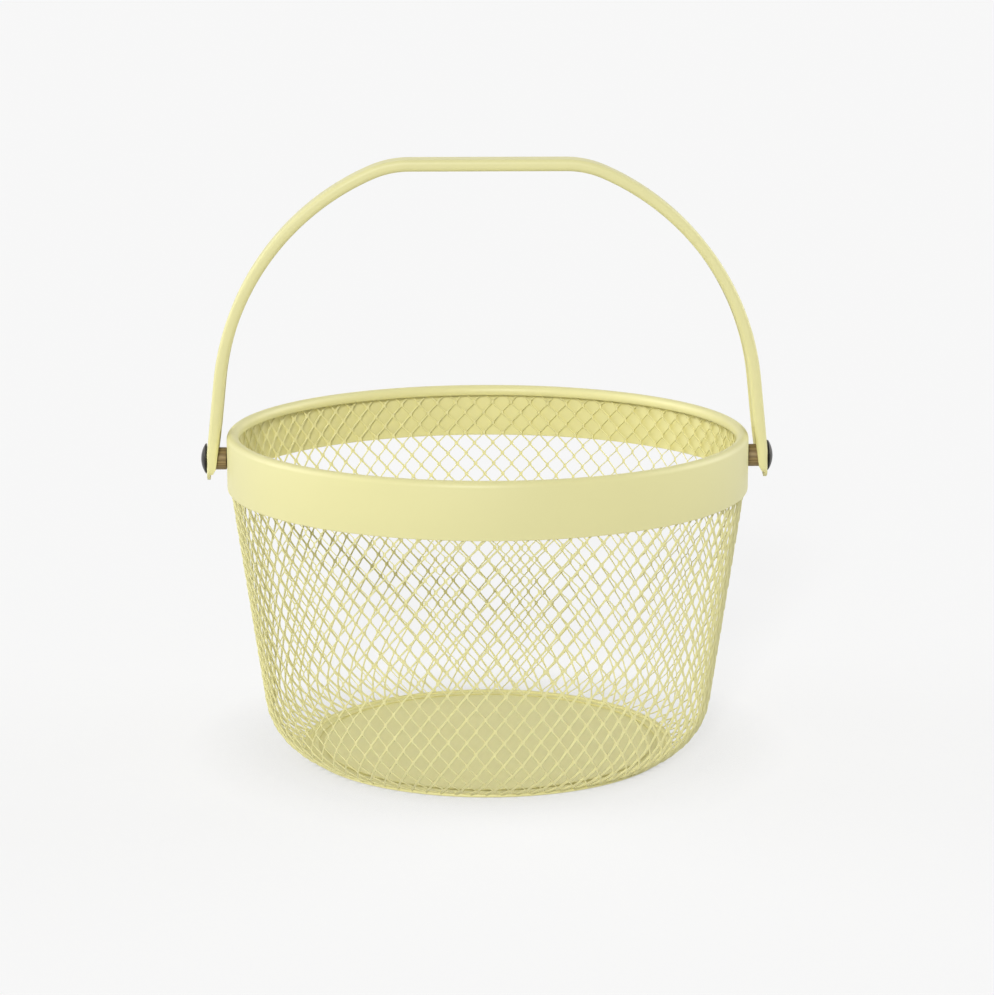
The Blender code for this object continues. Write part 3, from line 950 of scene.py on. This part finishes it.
class BASKET_OT_pivots(bpy.types.Operator):
    """Domed screws, wooden spacers, washers and nuts on both sides"""

    bl_idname = "basket.pivots"
    bl_label = "Pivots"

    def execute(self, context):
        finish = context.scene.basket_finish
        dark = steel_material(
            "blackened_steel", finish.dark_steel, roughness=0.28, tone_spread=0.12)
        bare = steel_material(
            "plated_steel", finish.bare_steel, roughness=0.26, tone_spread=0.06)
        wood = wood_material()
        for side in (-1, 1):
            self.add_screw(side, dark)
            self.add_ring(side, "wood_spacer", wood, "brown_wood", "spacer", edge=0.00035)
            self.add_ring(side, "flat_washer", bare, "bare_steel", "washer", edge=0.00015)
            self.add_nut(side, bare)
        return {"FINISHED"}

    def add_screw(self, side, material):
        """Add a domed head outside the handle, with its shank and thread."""
        seat = WEB_OUTER + SEAT_GAP
        rise = HEAD_TOP - seat
        dome = rise - HEAD_EDGE
        ball = (HEAD_RADIUS ** 2 + dome ** 2) / (2 * dome)
        edge_angle = degrees(atan2(ball - dome, HEAD_RADIUS)) + 1.0
        crown, crown_angle, rounding = 0.0004, 87.6, 0.0002
        rings = [(crown, rise)]
        rings += arc(0, rise - ball, ball, crown_angle, edge_angle, 14)
        rings += arc(HEAD_RADIUS - rounding, rounding, rounding, 40, -90, 4)
        rings += [(SHANK_RADIUS, 0.0), (SHANK_RADIUS, -THREAD_START)]
        root = SHANK_RADIUS - THREAD_DEPTH
        one_turn = ((root, 0.45), (root, 0.55), (SHANK_RADIUS, 0.95), (SHANK_RADIUS, 1.0))
        turns = int((seat - SCREW_END - THREAD_START - THREAD_RUNOUT) / THREAD_PITCH)
        for turn in range(turns):
            start = -THREAD_START - turn * THREAD_PITCH
            rings += [(radius, start - THREAD_PITCH * share) for radius, share in one_turn]
        end, tip = SCREW_END - seat, 0.0003
        rings += [(root, end), (tip, end)]
        screw = turned(rings, PIVOT_STEPS)
        onto_pivot(screw, side, seat)
        finish_piece(
            screw, side_name(side) + "_dome_screw", material, "basket", "dark_steel",
            side_name(side) + "_screw")

    def add_ring(self, side, name, material, slot, node, edge):
        """Add a bored ring with eased edges in the place of its CAD node."""
        low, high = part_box("right_" + node)
        length, radius = high.x - low.x, high.y
        rings = arc(radius - edge, length - edge, edge, 90, 0, 4)
        rings += arc(radius - edge, edge, edge, 0, -90, 4)
        rings += [(BORE_RADIUS + edge, 0), (BORE_RADIUS, edge)]
        rings += [(BORE_RADIUS, length - edge), (BORE_RADIUS + edge, length)]
        ring = turned(rings, RING_STEPS, closed=True)
        onto_pivot(ring, side, low.x)
        finish_piece(
            ring, side_name(side) + "_" + name, material, "basket", slot,
            side_name(side) + "_" + node)

    def add_nut(self, side, material):
        """Add a hexagon nut with its corners turned down at both faces."""
        height = NUT_OUTER - NUT_INNER
        flat = NUT_FLATS / 2
        corner = NUT_FLATS / (2 * cos(pi / 6))
        deselect()
        bpy.ops.mesh.primitive_cylinder_add(
            vertices=6, radius=corner, depth=height, location=(0, 0, height / 2))
        nut = bpy.context.object
        bpy.ops.object.transform_apply(location=True)
        reach, clear, margin = corner + 0.002, 0.001, 0.0001
        ease = corner - flat + margin
        rings = [
            (reach, -clear), (reach, height + clear), (flat, height + clear), (flat, height),
            (flat + ease, height - ease * NUT_SLOPE), (flat + ease, ease * NUT_SLOPE),
            (flat, 0), (flat, -clear),
        ]
        cut_out(nut, turned(rings, PIVOT_STEPS, closed=True))
        bore(nut, length=0.02)
        onto_pivot(nut, side, NUT_INNER)
        apply_modifier(
            nut, "BEVEL", width=0.00008, segments=1, limit_method="ANGLE",
            angle_limit=radians(25))
        finish_piece(
            nut, side_name(side) + "_hex_nut", material, "basket", "bare_steel",
            side_name(side) + "_nut", angle=25)


def seen_ray(tree):
    """1 for a ray from the camera, from a glossy surface or through glass, and 0 for others."""
    rays = add_node(tree, "ShaderNodeLightPath").outputs
    direct = calculate(tree, "MAXIMUM", rays["Is Camera Ray"], rays["Is Glossy Ray"])
    return calculate(tree, "MAXIMUM", direct, rays["Is Transmission Ray"])


def paper_material(lit, seen):
    """White paper: lit as paper for the basket, and near white where it is seen directly."""
    material = bpy.data.materials.new("paper")
    material.use_nodes = True
    tree = material.node_tree
    tree.nodes.remove(tree.nodes["Principled BSDF"])
    place = add_node(tree, "ShaderNodeNewGeometry").outputs["Position"]
    split = add_node(tree, "ShaderNodeSeparateXYZ", place)
    inward = calculate(tree, "MULTIPLY", split.outputs["X"], SHADE_INWARD)
    lean = add_node(tree, "ShaderNodeCombineXYZ", X=inward, Y=SHADE_FRONT, Z=SHADE_UP)
    # Painted shade: occlusion by the basket darkens the floor's seen glow near it
    near = add_node(
        tree, "ShaderNodeAmbientOcclusion", samples=8, Color=four(seen), Distance=SHADE_REACH,
        Normal=lean.outputs[0])
    shade = mix_colours(tree, SHADE_SHARE, four(seen), near.outputs["Color"])
    plain = add_node(tree, "ShaderNodeBsdfDiffuse", Color=four(lit))
    faint = add_node(tree, "ShaderNodeBsdfDiffuse", Color=four(seen, PAPER_DIFFUSE))
    glow = add_node(tree, "ShaderNodeEmission", Color=shade, Strength=PAPER_GLOW)
    both = add_node(tree, "ShaderNodeAddShader", faint.outputs[0], glow.outputs[0])
    mix = add_node(
        tree, "ShaderNodeMixShader", seen_ray(tree), plain.outputs[0], both.outputs[0])
    feed(tree, tree.nodes["Material Output"].inputs["Surface"], mix.outputs[0])
    return material


def studio_world(seen):
    """Even white light, with the backdrop's tone where the world is seen."""
    world = bpy.data.worlds.new("studio")
    bpy.context.scene.world = world
    world.use_nodes = True
    tree = world.node_tree
    light = tree.nodes["Background"]
    feed_named(tree, light, Color=(1.0, 1.0, 1.0, 1.0), Strength=WORLD_STRENGTH)
    backdrop = add_node(tree, "ShaderNodeBackground", Color=four(seen), Strength=1.0)
    mix = add_node(
        tree, "ShaderNodeMixShader", seen_ray(tree), light.outputs[0], backdrop.outputs[0])
    feed(tree, tree.nodes["World Output"].inputs["Surface"], mix.outputs[0])


class BASKET_OT_stage(bpy.types.Operator):
    """Pale floor, soft daylight and the camera"""

    bl_idname = "basket.stage"
    bl_label = "Stage"

    def execute(self, context):
        paper = context.scene.basket_finish.paper
        deselect()
        bpy.ops.mesh.primitive_plane_add(size=60, location=(0, 0, 0))
        floor = bpy.context.object
        floor.name = "floor"
        floor.data.materials.append(paper_material(PAPER_LIT, paper))
        studio_world(paper)
        self.add_sun("front_light", strength=1.72, spread=9, azimuth=-10, elevation=22)
        self.add_sun("left_light", strength=1.50, spread=45, azimuth=-100, elevation=23)
        self.add_sun("right_light", strength=1.36, spread=45, azimuth=110, elevation=23)
        aside, forward = sin(CAMERA_YAW), cos(CAMERA_YAW)
        bpy.ops.object.camera_add(
            location=(-CAMERA_DISTANCE * aside, -CAMERA_DISTANCE * forward, CAMERA_HEIGHT),
            rotation=(CAMERA_TILT, 0, -CAMERA_YAW - CAMERA_PAN))
        camera = bpy.context.object
        camera.name = "camera"
        camera.data.sensor_fit = "HORIZONTAL"
        camera.data.sensor_width = 36
        camera.data.lens = CAMERA_LENS
        context.scene.camera = camera
        context.scene.view_settings.view_transform = "Standard"
        return {"FINISHED"}

    def add_sun(self, name, strength, spread, azimuth, elevation):
        """Add a sun; its angles are in degrees, and azimuth 0 is in front of the basket."""
        around, raised = radians(azimuth), radians(elevation)
        flat = Vector((sin(around), -cos(around), 0))
        direction = flat * cos(raised) + Vector((0, 0, sin(raised)))
        turn = direction.to_track_quat("Z", "Y").to_euler()
        bpy.ops.object.light_add(type="SUN", rotation=turn, location=direction.normalized() * 2)
        sun = bpy.context.object
        sun.name = name
        sun.data.energy = strength
        sun.data.angle = radians(spread)


OPERATORS = (
    BASKET_OT_mesh_wall,
    BASKET_OT_rim_band,
    BASKET_OT_base_plate,
    BASKET_OT_handle,
    BASKET_OT_pivots,
    BASKET_OT_stage,
)


class BASKET_PT_sidebar(bpy.types.Panel):
    """Pieces, sizes and colours of the basket"""

    bl_idname = "BASKET_PT_sidebar"
    bl_label = "Mesh basket"
    bl_space_type = "VIEW_3D"
    bl_region_type = "UI"
    bl_category = "Basket"

    def draw(self, context):
        for operator in OPERATORS:
            self.layout.operator(operator.bl_idname)
        for group in (context.scene.basket_sizes, context.scene.basket_finish):
            for name in group.__annotations__:
                self.layout.prop(group, name)


CLASSES = (BasketSizes, BasketFinish, *OPERATORS, BASKET_PT_sidebar)


def register():
    """Register the classes and the scene's settings."""
    for item in CLASSES:
        bpy.utils.register_class(item)
    bpy.types.Scene.basket_sizes = PointerProperty(type=BasketSizes)
    bpy.types.Scene.basket_finish = PointerProperty(type=BasketFinish)


def unregister():
    """Remove the classes and the scene's settings."""
    del bpy.types.Scene.basket_sizes
    del bpy.types.Scene.basket_finish
    for item in reversed(CLASSES):
        bpy.utils.unregister_class(item)


def main():
    """Make every piece and the stage."""
    register()
    bpy.ops.basket.mesh_wall()
    bpy.ops.basket.rim_band()
    bpy.ops.basket.base_plate()
    bpy.ops.basket.handle()
    bpy.ops.basket.pivots()
    bpy.ops.basket.stage()


if __name__ == "__main__":
    main()
